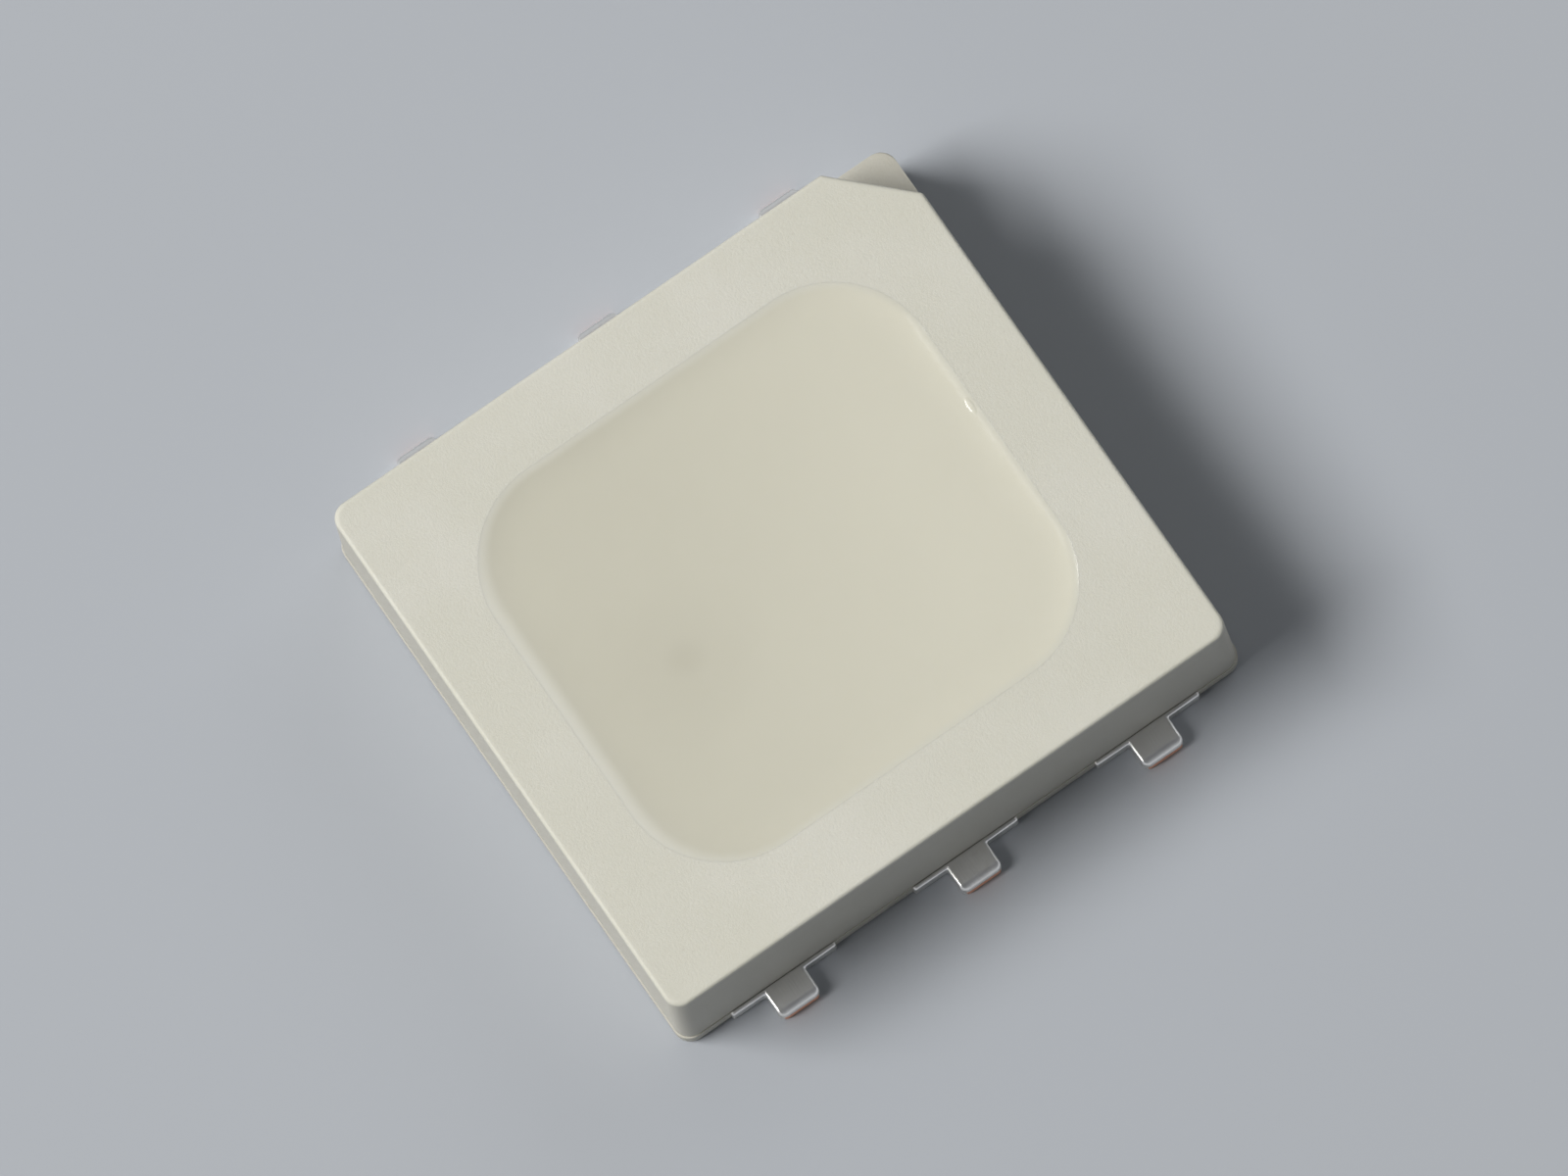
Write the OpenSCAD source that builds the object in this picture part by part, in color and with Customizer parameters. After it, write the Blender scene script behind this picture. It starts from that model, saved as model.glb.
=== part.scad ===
// Six-terminal surface-mount LED: a white moulded housing with a rounded window of milky resin,
// three dies on a flat leadframe under it, and the bond wires that join them.
// The board is the plane z = 0, the terminal rows run along X and the terminals leave along Y.

/* [Housing] */
// Length of the housing at its base, along the terminal rows
body_l = 5.39; // [5.3:0.01:5.7]
// Width of the housing at its base, across the terminal rows
body_w = 4.94; // [4.9:0.01:5.3]
// Height of the top face above the board
body_h = 1.6; // [1.4:0.01:1.9]
// Draft of the four side walls, in degrees
body_draft = 1.5; // [0.5:0.5:4]
// Step between the drafted walls and the straight band at the leadframe's level
band_step = 0.01; // [0.005:0.005:0.03]
// Radius of the upright corners
corner_r = 0.14; // [0.08:0.01:0.25]
// Radius of the top face's outer edge
top_edge_r = 0.03; // [0.02:0.01:0.08]
// Gap between the board and the plastic underside
standoff = 0.02; // [0.01:0.005:0.04]
// Diameter of the round gate recess in the underside
gate_d = 0.7; // [0.4:0.05:1]
// Depth of the gate recess
gate_depth = 0.03; // [0.01:0.005:0.04]

/* [Polarity notch] */
// Leg of the cut corner, measured along the top face's edges
notch_leg = 0.58; // [0.4:0.01:0.65]
// Depth of the ledge below the top face
notch_depth = 0.6; // [0.3:0.05:1]

/* [Window] */
// Length of the window at the top face
window_l = 4.08; // [3.9:0.02:4.2]
// Width of the window at the top face
window_w = 3.62; // [3.5:0.02:3.8]
// Corner radius of the window at the top face
window_r = 0.87; // [0.8:0.01:1]
// Lean of the reflector walls from upright, in degrees
reflector_lean = 12; // [8:1:14]

/* [Resin] */
// Drop from the top face to the line where the resin wets the wall
fill_drop = 0.01; // [0.005:0.005:0.06]
// Depth of the resin's flat middle below that line
meniscus = 0.03; // [0.01:0.01:0.12]
// Distance from the wall over which the resin's surface falls to its flat middle
meniscus_reach = 0.4; // [0.3:0.01:0.7]
// Steepness of that fall: a higher power keeps more of it close to the wall
meniscus_power = 3; // [2:1:6]

/* [Leadframe] */
// Thickness of the leadframe strip
lead_t = 0.2; // [0.15:0.01:0.25]
// Distance between neighbouring terminals in a row
pitch = 1.75; // [1.7:0.01:1.8]
// Width of a terminal
terminal_w = 1.0; // [0.9:0.02:1.06]
// Length of the solder face under the housing, in from the wall
solder_len = 1.4; // [1.3:0.01:1.44]
// How far a terminal's end stands out of the housing's band
terminal_proud = 0.03; // [0.005:0.005:0.04]
// Width of the cut tie stub on a terminal's end
stub_w = 0.38; // [0.3:0.02:0.5]
// How far the stub reaches out of the housing's band
stub_out = 0.27; // [0.2:0.01:0.35]
// Radius of the stub's outer corners
stub_r = 0.06; // [0.03:0.01:0.1]
// Depth of the half etch under the inner pads
etch_depth = 0.1; // [0.07:0.01:0.12]
// Radius of the mould-lock bites in a terminal's sides
lock_r = 0.12; // [0.08:0.01:0.16]
// Distance of the mould-lock bites from the wall
lock_in = 0.45; // [0.4:0.05:0.6]
// Width of the middle inner pads
middle_pad_w = 1.1; // [1.06:0.02:1.2]
// Gap between neighbouring inner pads
pad_gap = 0.2; // [0.15:0.01:0.25]
// Gap between a die pad and the bond pad that faces it
row_gap = 0.25; // [0.2:0.01:0.3]
// How far the die pads reach past the middle of the housing
die_pad_reach = 0.45; // [0.4:0.01:0.5]

/* [Dies] */
// Distance between neighbouring dies
die_pitch = 1.1; // [1.06:0.01:1.16]
// Shift of the row of dies from the middle of the housing, towards terminals 4 to 6
die_shift = 0.15; // [0.1:0.01:0.2]
// Side of the red die, which is square
red_die = 0.32; // [0.28:0.01:0.36]
// Height of the red die
red_die_h = 0.17; // [0.14:0.01:0.2]
// Width of the green and blue dies
gem_die_w = 0.3; // [0.26:0.01:0.34]
// Length of the green and blue dies
gem_die_l = 0.46; // [0.4:0.01:0.5]
// Height of the green and blue dies
gem_die_h = 0.12; // [0.1:0.01:0.15]
// Diameter of a die's metal contact
contact_d = 0.1; // [0.09:0.01:0.12]
// Thickness of a die's metal contact
contact_t = 0.005; // [0.003:0.001:0.008]
// Bare margin between a contact and the die's end
contact_margin = 0.03; // [0.02:0.005:0.04]
// Thickness of the glue under a die
glue_t = 0.02; // [0.01:0.005:0.03]
// How far the glue spreads past a die
glue_spread = 0.05; // [0.03:0.01:0.07]
// How far the glue climbs a die's sides
glue_climb = 0.03; // [0.02:0.01:0.05]
// Thickness of the glue at the top of that climb
glue_lip = 0.005; // [0.004:0.001:0.01]

/* [Bond wires] */
// Diameter of the wire
wire_d = 0.025; // [0.02:0.001:0.03]
// Diameter of the ball on the die's contact
ball_d = 0.07; // [0.06:0.005:0.08]
// Height of the ball
ball_h = 0.02; // [0.015:0.001:0.025]
// Rise of the loop above the die's contact
loop_h = 0.24; // [0.18:0.01:0.3]
// Thickness of the flattened stitch at the wire's far end
stitch_t = 0.012; // [0.008:0.001:0.016]
// Width of the stitch
stitch_w = 0.05; // [0.04:0.005:0.06]
// Length of the stitch's flat
stitch_l = 0.06; // [0.04:0.01:0.08]
// Distance of the stitch on a bond pad from the pad's inner edge
bond_in = 0.25; // [0.2:0.01:0.3]
// Distance of the stitch on a die pad from the die's end
return_in = 0.4; // [0.35:0.01:0.45]

/* [Hidden] */

// Clear overshoot of a cutting shape past the face that it cuts
over = 0.2;
// Overlap of a terminal's two rectangles, inside its own outline
pad_overlap = 0.1;
// Facets in a quarter turn of the housing's corners and of the window's corners
corner_steps = 8;
window_steps = 14;
// Facets in the rounding of the top edge
edge_steps = 4;
// Rings of the resin's dish, from the wall to its flat middle
dish_rings = 9;
// Points around a bond wire and rings along its loop
wire_sides = 8;
wire_rings = 20;
// Sides of a die's contact, drawn as a polygon, and facets in a corner of the glue
contact_sides = 12;
glue_steps = 4;
// The ball of a bond wire from the contact up, as shares of its height and of its radius
ball_profile = [[0, 0.8], [0.3, 1], [0.7, 1], [1, 0.75]];
// Shares of a wire's span at which its loop is drawn on and comes down to the pad
loop_turn = 0.4;
loop_land = 0.75;
// How far above the loop's own height its control points lie
loop_pull = 1.5;
// Share of the loop from which the wire flattens into its stitch
flat_from = 0.85;

// Inset of the drafted walls from the base at a height
function wall_in(z) = band_step + (z - lead_t) * tan(body_draft);

// Size of the top face, with its outer edge taken as sharp
top_l = body_l - 2 * wall_in(body_h);
top_w = body_w - 2 * wall_in(body_h);

// Places of the leadframe's edges
bond_pad_end = die_pad_reach + row_gap;
solder_in = body_w / 2 - solder_len;
side_pad_in = middle_pad_w / 2 + pad_gap;
side_pad_out = pitch + terminal_w / 2;

// Heights that the dies and wires stand on
glue_top = lead_t + glue_t;
red_top = glue_top + red_die_h;
gem_top = glue_top + gem_die_h;
gem_contact_y = gem_die_l / 2 - contact_d / 2 - contact_margin;

// Points of a rounded rectangle, anticlockwise, with the same count for every size
function rounded_rect(l, w, r, steps) = [
    for (c = [0:3], k = [0:steps])
        let (
            a = 90 * c + 90 * k / steps,
            sx = (c == 0 || c == 3) ? 1 : -1,
            sy = c < 2 ? 1 : -1
        )
        [sx * (l / 2 - r) + r * cos(a), sy * (w / 2 - r) + r * sin(a)]
];

// A ring of a loft: an outline lifted to one height
function lifted(outline, z) = [for (p = outline) [p.x, p.y, z]];

// Section of the housing at a height, drawn in from the base by an inset
function housing_ring(z, inset) =
    lifted(rounded_rect(body_l - 2 * inset, body_w - 2 * inset, corner_r, corner_steps), z);

// Outline of the window, drawn in from its wall by an inset
function window_outline(inset) =
    rounded_rect(window_l - 2 * inset, window_w - 2 * inset, window_r - inset, window_steps);

// Inset of the leaning reflector walls at a height
function reflector_in(z) = (body_h - z) * tan(reflector_lean);

// Section of the reflector's cavity at a height
function cavity_ring(z) = lifted(window_outline(reflector_in(z)), z);

// A closed solid through rings that have the same number of points
module loft(rings) {
    n = len(rings[0]);
    last = len(rings) - 1;
    sides = [
        for (r = [0:last - 1], i = [0:n - 1])
            let (j = (i + 1) % n, a = r * n, b = a + n)
            each [[a + i, b + i, b + j], [a + i, b + j, a + j]]
    ];
    bottom = [for (i = [0:n - 1]) i];
    top = [for (i = [n - 1:-1:0]) last * n + i];
    polyhedron([for (ring = rings) each ring], concat([bottom, top], sides));
}

// Outside of the housing: a straight band, drafted walls and a rounded top edge
module housing_block() {
    shoulder = body_h - top_edge_r;
    loft([
        housing_ring(standoff, 0),
        housing_ring(lead_t, 0),
        housing_ring(lead_t, band_step),
        for (k = [0:edge_steps])
            let (
                a = 90 * k / edge_steps,
                z = shoulder + top_edge_r * sin(a)
            )
            housing_ring(z, wall_in(z) + top_edge_r * (1 - cos(a)))
    ]);
}

// The cut corner that marks terminal 1: a chamfered step that stops at a ledge
module polarity_notch() {
    x = top_l / 2;
    y = top_w / 2;
    translate([0, 0, body_h - notch_depth])
        linear_extrude(notch_depth + over)
            polygon([
                [x + over, y - notch_leg - over],
                [x + over, y + over],
                [x - notch_leg - over, y + over]
            ]);
}

// The reflector's cavity, from the leadframe's face up through the top
module cavity() {
    loft([cavity_ring(lead_t), cavity_ring(body_h + over)]);
}

// Outline of a terminal that leaves along -Y, with its inner pad from x0 to x1 up to y_end
module terminal_outline(x, x0, x1, y_end) {
    wall = -body_w / 2;
    shoulder_y = -solder_in;
    difference() {
        union() {
            translate([x - terminal_w / 2, wall - terminal_proud])
                square([terminal_w, terminal_proud + solder_len + pad_overlap]);
            translate([x0, shoulder_y])
                square([x1 - x0, y_end - shoulder_y]);
            translate([x - stub_w / 2, wall - stub_out + stub_r])
                square([stub_w, stub_out + over]);
            translate([x - stub_w / 2 + stub_r, wall - stub_out])
                square([stub_w - 2 * stub_r, stub_out + over]);
            for (s = [-1, 1])
                translate([x + s * (stub_w / 2 - stub_r), wall - stub_out + stub_r])
                    circle(stub_r, $fn = 32);
        }
        for (s = [-1, 1])
            translate([x + s * terminal_w / 2, wall + lock_in])
                circle(lock_r, $fn = 32);
    }
}

// A terminal: full thickness under its solder face, half etched under its inner pad
module terminal_plate(x, x0, x1, y_end) {
    difference() {
        linear_extrude(lead_t)
            terminal_outline(x, x0, x1, y_end);
        translate([x0 - over, -solder_in, -over])
            cube([x1 - x0 + 2 * over, y_end + solder_in + over, etch_depth + over]);
    }
}

// Place of a terminal along its row, from its number: 1 to 3 run to -X and 4 to 6 back to +X
function column(number) = number <= 3 ? 2 - number : number - 5;

module terminal(number) {
    c = column(number);
    die_row = number > 3;
    x0 = c == 0 ? -middle_pad_w / 2 : c < 0 ? -side_pad_out : side_pad_in;
    x1 = c == 0 ? middle_pad_w / 2 : c < 0 ? -side_pad_in : side_pad_out;
    y_end = die_row ? die_pad_reach : -bond_pad_end;
    color("silver")
        if (die_row)
            terminal_plate(c * pitch, x0, x1, y_end);
        else
            mirror([0, 1, 0])
                terminal_plate(c * pitch, x0, x1, y_end);
}

module housing() {
    color([0.82, 0.82, 0.77])
        difference() {
            housing_block();
            polarity_notch();
            cavity();
            translate([0, 0, standoff - over])
                cylinder(d = gate_d, h = over + gate_depth, $fn = 48);
            for (number = [1:6])
                terminal(number);
        }
}

// A die with a metal contact at each of the given places along Y
module die(x, w, l, h, contacts) {
    translate([x, -die_shift, glue_top]) {
        translate([-w / 2, -l / 2, 0])
            cube([w, l, h]);
        for (y = contacts)
            translate([0, y, h])
                cylinder(d = contact_d, h = contact_t, $fn = contact_sides);
    }
}

module die_red() {
    color("dimgray")
        die(-die_pitch, red_die, red_die, red_die_h, [0]);
}

module die_green() {
    color("lightcyan")
        die(0, gem_die_w, gem_die_l, gem_die_h, [-gem_contact_y, gem_contact_y]);
}

module die_blue() {
    color("lightblue")
        die(die_pitch, gem_die_w, gem_die_l, gem_die_h, [-gem_contact_y, gem_contact_y]);
}

// The glue under a die: a thin layer with a fillet that climbs its sides
module die_glue(x, w, l) {
    foot = rounded_rect(w + 2 * glue_spread, l + 2 * glue_spread, glue_spread, glue_steps);
    waist = rounded_rect(w + glue_spread, l + glue_spread, glue_spread / 2, glue_steps);
    crest = rounded_rect(w + 2 * glue_lip, l + 2 * glue_lip, glue_lip, glue_steps);
    difference() {
        translate([x, -die_shift, 0])
            loft([
                lifted(foot, lead_t),
                lifted(waist, glue_top),
                lifted(crest, glue_top + glue_climb)
            ]);
        translate([x - w / 2, -die_shift - l / 2, glue_top])
            cube([w, l, over]);
    }
}

module die_glue_red() {
    color("gainsboro")
        die_glue(-die_pitch, red_die, red_die);
}

module die_glue_green() {
    color("whitesmoke")
        die_glue(0, gem_die_w, gem_die_l);
}

module die_glue_blue() {
    color("whitesmoke")
        die_glue(die_pitch, gem_die_w, gem_die_l);
}

// A point of a Bezier curve through its control points
function bezier(p, t) =
    len(p) == 1 ? p[0] : bezier([for (i = [0:len(p) - 2]) p[i] * (1 - t) + p[i + 1] * t], t);

// One ring of a wire in its own plane: u runs along the span, v across it and z up
function wire_ring(centre, slope, half_w, half_t) = [
    for (k = [0:wire_sides - 1])
        let (
            a = 360 * (k + 0.5) / wire_sides,
            grow = 1 / cos(180 / wire_sides),
            across = -half_w * grow * cos(a),
            lift = half_t * grow * sin(a)
        )
        [centre.x - lift * sin(slope), across, centre.y + lift * cos(slope)]
];

// A bond wire from a die's contact to a pad: ball, neck, loop and flattened stitch.
// The span runs along Y from y0 to y1, and the ball stands on z0.
module bond_wire(x, y0, y1, z0) {
    span = abs(y1 - y0);
    neck_z = z0 + ball_h + wire_d / 2;
    foot_z = lead_t + stitch_t / 2;
    curve = [
        [0, neck_z],
        [0, z0 + loop_pull * loop_h],
        [loop_turn * span, z0 + loop_pull * loop_h],
        [loop_land * span, foot_z],
        [span - stitch_l, foot_z]
    ];
    ball = [
        for (share = ball_profile)
            let (r = share[1] * ball_d / 2)
            wire_ring([0, z0 + share[0] * ball_h], 90, r, r)
    ];
    loop = [
        for (k = [0:wire_rings])
            let (
                t = k / wire_rings,
                here = bezier(curve, t),
                ahead = bezier(curve, min(t + 0.01, 1)),
                behind = bezier(curve, max(t - 0.01, 0)),
                slope = atan2(ahead.y - behind.y, ahead.x - behind.x),
                flat = max(0, (t - flat_from) / (1 - flat_from)),
                half_w = wire_d / 2 * (1 - flat) + stitch_w / 2 * flat,
                half_t = wire_d / 2 * (1 - flat) + stitch_t / 2 * flat
            )
            wire_ring(here, k == wire_rings ? 0 : slope, half_w, half_t)
    ];
    stitch = [wire_ring([span, foot_z], 0, stitch_w / 2, stitch_t / 2)];
    translate([x, y0, 0])
        rotate([0, 0, y1 > y0 ? 90 : -90])
            loft(concat(ball, loop, stitch));
}

bond_y = bond_pad_end + bond_in;
return_y = -die_shift - gem_die_l / 2 - return_in;

module bond_wire_red() {
    color("gold")
        bond_wire(-die_pitch, -die_shift, bond_y, red_top + contact_t);
}

module bond_wire_green_out() {
    color("gold")
        bond_wire(0, -die_shift + gem_contact_y, bond_y, gem_top + contact_t);
}

module bond_wire_green_back() {
    color("gold")
        bond_wire(0, -die_shift - gem_contact_y, return_y, gem_top + contact_t);
}

module bond_wire_blue_out() {
    color("gold")
        bond_wire(die_pitch, -die_shift + gem_contact_y, bond_y, gem_top + contact_t);
}

module bond_wire_blue_back() {
    color("gold")
        bond_wire(die_pitch, -die_shift - gem_contact_y, return_y, gem_top + contact_t);
}

// The resin in the cavity, dished by its meniscus and moulded round the dies and wires
module diffuser_resin() {
    wetted_z = body_h - fill_drop;
    color([0.81, 0.8, 0.73])
        difference() {
            loft([
                cavity_ring(lead_t),
                for (k = [0:dish_rings])
                    let (
                        share = pow(k / dish_rings, 1.5),
                        inset = reflector_in(wetted_z) + meniscus_reach * share,
                        fall = meniscus * (1 - pow(1 - share, meniscus_power))
                    )
                    lifted(window_outline(inset), wetted_z - fall)
            ]);
            die_red();
            die_green();
            die_blue();
            die_glue_red();
            die_glue_green();
            die_glue_blue();
            bond_wire_red();
            bond_wire_green_out();
            bond_wire_green_back();
            bond_wire_blue_out();
            bond_wire_blue_back();
        }
}

housing();
diffuser_resin();
terminal(1);  // terminal_1
terminal(2);  // terminal_2
terminal(3);  // terminal_3
terminal(4);  // terminal_4
terminal(5);  // terminal_5
terminal(6);  // terminal_6
die_red();
die_green();
die_blue();
die_glue_red();
die_glue_green();
die_glue_blue();
bond_wire_red();
bond_wire_green_out();
bond_wire_green_back();
bond_wire_blue_out();
bond_wire_blue_back();
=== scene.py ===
# %% [markdown]
# # A surface-mount LED, seen from above
#
# This lesson dresses the CAD model of a small six-terminal LED for a close-up picture. The LED is only about
# 5.5 mm across, so every size is given in millimetres and turned into Blender's metres with one factor, MM.
# The CAD frame comes first. Its pieces stay where they are, and finer meshes take the place of those that
# show.

# %% Load the frame
import math

import bmesh
import bpy
from mathutils import Matrix, Vector


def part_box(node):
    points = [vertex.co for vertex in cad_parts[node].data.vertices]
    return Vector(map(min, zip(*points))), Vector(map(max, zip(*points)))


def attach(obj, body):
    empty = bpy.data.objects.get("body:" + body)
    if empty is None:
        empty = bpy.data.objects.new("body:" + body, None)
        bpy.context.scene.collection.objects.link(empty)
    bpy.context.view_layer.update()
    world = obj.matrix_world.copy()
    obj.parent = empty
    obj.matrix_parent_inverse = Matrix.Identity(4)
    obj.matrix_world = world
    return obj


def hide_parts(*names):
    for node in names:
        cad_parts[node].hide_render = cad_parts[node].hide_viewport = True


MM = 0.001

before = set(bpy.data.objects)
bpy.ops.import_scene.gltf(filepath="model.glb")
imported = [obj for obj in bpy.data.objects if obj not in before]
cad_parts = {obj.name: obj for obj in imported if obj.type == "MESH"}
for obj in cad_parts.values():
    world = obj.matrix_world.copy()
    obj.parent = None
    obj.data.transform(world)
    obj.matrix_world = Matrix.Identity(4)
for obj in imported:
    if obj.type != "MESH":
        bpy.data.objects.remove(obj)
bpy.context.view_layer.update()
print("CAD nodes:", ", ".join(sorted(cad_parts)))

# %% [markdown]
# ## Sizes
#
# The places that the CAD model already knows are read from its boxes: how long, wide and high the housing
# is, where the terminals end and how thick they are. The rest are the CAD model's own driving sizes,
# written again here because a box can't tell them.

# %% Sizes from the frame
housing_low, housing_high = [Vector(c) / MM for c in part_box("housing")]
terminal_low, terminal_high = [Vector(c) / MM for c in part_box("terminal_6")]

body_l = housing_high.x - housing_low.x
body_w = housing_high.y - housing_low.y
body_h = housing_high.z
standoff = housing_low.z
lead_t = terminal_high.z
stub_tip = -terminal_low.y
print(f"housing {body_l:.2f} x {body_w:.2f} x {body_h:.2f} mm, leadframe {lead_t:.2f} mm thick")

# %% Sizes that the frame can't tell
body_draft = math.radians(1.5)
band_step = 0.01
corner_r = 0.14
top_edge_r = 0.03
notch_leg = 0.58
notch_depth = 0.6
gate_d = 0.7
gate_depth = 0.03
window_l = 4.08
window_w = 3.62
window_r = 0.87
reflector_lean = math.radians(12)
fill_drop = 0.01
meniscus = 0.03
meniscus_reach = 0.4
meniscus_power = 3
pitch = 1.75
terminal_w = 1.0
solder_len = 1.4
terminal_proud = 0.03
stub_w = 0.38
stub_r = 0.06
etch_depth = 0.1
lock_r = 0.12
lock_in = 0.45

# %% [markdown]
# ## Shader maths that reads like arithmetic
#
# A procedural finish is a small graph of nodes. Built by hand it takes a line for every node and every
# link, and the sum that it works out can't be read any more. So a socket is wrapped in a class whose
# operators add the Math nodes, and `1 - mask` or `grain * 0.3 + 0.5` means what it says. Everything that
# isn't plain arithmetic comes from one method, `node`, which takes the node's type, its settings and what
# goes into its sockets.

# %% A socket with operators
class Value:
    """A socket that Python's own operators work on."""

    def __init__(self, graph, socket):
        self.graph = graph
        self.socket = socket

    def math(self, operation, *operands):
        return self.graph.node("ShaderNodeMath", {"operation": operation}, dict(enumerate(operands)))

    def __add__(self, other):
        return self.math("ADD", self, other)

    def __radd__(self, other):
        return self.math("ADD", other, self)

    def __sub__(self, other):
        return self.math("SUBTRACT", self, other)

    def __rsub__(self, other):
        return self.math("SUBTRACT", other, self)

    def __mul__(self, other):
        return self.math("MULTIPLY", self, other)

    def __rmul__(self, other):
        return self.math("MULTIPLY", other, self)

    def __truediv__(self, other):
        return self.math("DIVIDE", self, other)

    def __pow__(self, other):
        return self.math("POWER", self, other)

    def __abs__(self):
        return self.math("ABSOLUTE", self)

    def above(self, other):
        return self.math("MAXIMUM", self, other)

    def below(self, other):
        return self.math("MINIMUM", self, other)

    def step(self, start, end):
        """Runs smoothly from 0 where this value is start to 1 where it is end."""
        settings = {"interpolation_type": "SMOOTHSTEP", "clamp": True}
        inputs = {"Value": self, "From Min": start, "From Max": end}
        return self.graph.node("ShaderNodeMapRange", settings, inputs)


# %% A graph of nodes
class Graph:
    """The nodes of a material or of the world."""

    def __init__(self, owner):
        owner.use_nodes = True
        self.tree = owner.node_tree

    def node(self, kind, settings=None, inputs=None, output=0):
        """Adds a node: its settings first, then the values or links of its sockets."""
        made = self.tree.nodes.new(kind)
        for name, value in (settings or {}).items():
            setattr(made, name, value)
        for socket, value in (inputs or {}).items():
            self.feed(made.inputs[socket], value)
        return Value(self, made.outputs[output])

    def feed(self, socket, value):
        if isinstance(value, Value):
            self.tree.links.new(value.socket, socket)
        else:
            socket.default_value = value

    def split(self, vector, axes):
        """Each named axis of a vector, as a number."""
        return [self.node("ShaderNodeSeparateXYZ", None, {0: vector}, output=axis) for axis in axes]

    def mix(self, factor, a, b):
        """Mixes two colours: a where the factor is 0, b where it is 1."""
        return self.node("ShaderNodeMix", {"data_type": "RGBA"}, {0: factor, 6: a, 7: b}, output=2)


# %% A finish: one material
class Finish(Graph):
    """A material under construction, with its Principled shader."""

    def __init__(self, name, **constants):
        self.material = bpy.data.materials.new(name)
        super().__init__(self.material)
        self.shader = self.tree.nodes["Principled BSDF"]
        for socket, value in constants.items():
            self.shader.inputs[socket.replace("_", " ")].default_value = value

    def drive(self, **sockets):
        """Links what changes over the surface to the shader."""
        for name, value in sockets.items():
            self.feed(self.shader.inputs[name.replace("_", " ")], value)

    def place(self, axes=""):
        """The surface's place in millimetres: the whole vector, and each named axis as a number."""
        coords = self.node("ShaderNodeTexCoord", output="Object")
        vector = self.node("ShaderNodeVectorMath", {"operation": "SCALE"}, {0: coords, "Scale": 1 / MM})
        return vector, *self.split(vector, axes)

    def stretch(self, vector, factors):
        """Scales a place by a factor on each axis, for grain that runs one way."""
        return self.node("ShaderNodeVectorMath", {"operation": "MULTIPLY"}, {0: vector, 1: factors})

    def noise(self, vector, scale, detail=3.0, roughness=0.5, seed=0.0):
        """Fractal noise from 0 to 1. Its scale counts blotches to the millimetre."""
        inputs = {"Vector": vector, "W": seed, "Scale": scale, "Detail": detail, "Roughness": roughness}
        return self.node("ShaderNodeTexNoise", {"noise_dimensions": "4D"}, inputs)

    def bump(self, height, depth_mm):
        """Raises the surface in the light by the height times a depth."""
        inputs = {"Height": height, "Distance": depth_mm * MM, "Strength": 1.0}
        self.drive(Normal=self.node("ShaderNodeBump", None, inputs))


def rgba(red, green, blue):
    """A colour written in a screen's values from 0 to 255, turned into Blender's linear light."""
    def linear(v):
        v /= 255
        return v / 12.92 if v <= 0.04045 else ((v + 0.055) / 1.055) ** 2.4

    return (linear(red), linear(green), linear(blue), 1.0)


# %% [markdown]
# ## The white moulding
#
# The housing is a heat-proof plastic, filled with so much white pigment that it throws back nearly all
# light. It is off-white, a little warm, and matt because the mould's spark-eroded skin prints a fine grain
# on it. Light goes a short way into it, which softens its edges. A plain white would look like paper, so
# the colour drifts a little over a millimetre, and the grain is a bump of a few micrometres. Below the top
# face the walls and the ledge of the cut corner are painted greyer, as painted shade: they get less light
# than the top face.

# %% White moulding
WHITE_DEEP = rgba(209, 207, 194)
WHITE_PALE = rgba(213, 211, 200)
SPECK_TONE = rgba(190, 187, 174)
PAINTED_WALL_SHADE = rgba(179, 175, 164)
WALL_SHADE_STARTS_BELOW_TOP = 0.02
WALL_SHADE_FULL_BELOW_TOP = 0.1
SHORT_SCATTER = {"Subsurface_Scale": 0.04 * MM, "Subsurface_Radius": (1.0, 0.95, 0.85)}


def white_moulding():
    finish = Finish("white_moulding", IOR=1.5, Subsurface_Weight=0.25, **SHORT_SCATTER)
    place, z = finish.place("Z")
    cloud = finish.noise(place, scale=0.9, detail=4)
    speck = finish.noise(place, scale=28, detail=2, seed=3)
    grain = finish.noise(place, scale=45, detail=4, roughness=0.7, seed=7)
    clean = finish.mix(cloud.step(0.35, 0.7), WHITE_DEEP, WHITE_PALE)
    speckled = finish.mix(speck.step(0.62, 0.8) * 0.3, clean, SPECK_TONE)
    # Painted shade: the colour turns greyer just below the top face, down the walls and on the ledge.
    wall = 1 - z.step(body_h - WALL_SHADE_FULL_BELOW_TOP, body_h - WALL_SHADE_STARTS_BELOW_TOP)
    finish.drive(
        Base_Color=finish.mix(wall * 0.6, speckled, PAINTED_WALL_SHADE),
        Roughness=0.44 + 0.16 * grain,
    )
    finish.bump(grain + 0.6 * cloud, depth_mm=0.004)
    return finish.material


# %% [markdown]
# ## The milky resin
#
# The cavity is cast full of clear resin with a white diffuser stirred in. It looks a touch darker and
# yellower than the moulding, and its skin is smooth, so it mirrors a lamp where the meniscus bends up to
# the wall. One die is dark enough to show as a faint smudge. A painted picture could be laid over the resin
# for that. Here the tone is worked out from the place on the part instead, so it stays sharp at any
# distance, and two numbers say where the smudge lies.

# %% Tone of the open resin
PAINTED_LIGHT_SLANT = 0.35
SMUDGE_X = -1.0
SMUDGE_Y = -0.15
SMUDGE_OVAL = 0.8
CORE_R = 0.22
HAZE_R = 0.8
PAINTED_SHADE_TONE = rgba(203, 200, 184)
PAINTED_LIT_TONE = rgba(219, 216, 200)
CLOUD_TONE = rgba(211, 208, 192)
SMUDGE_TONE = rgba(190, 186, 170)


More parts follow.
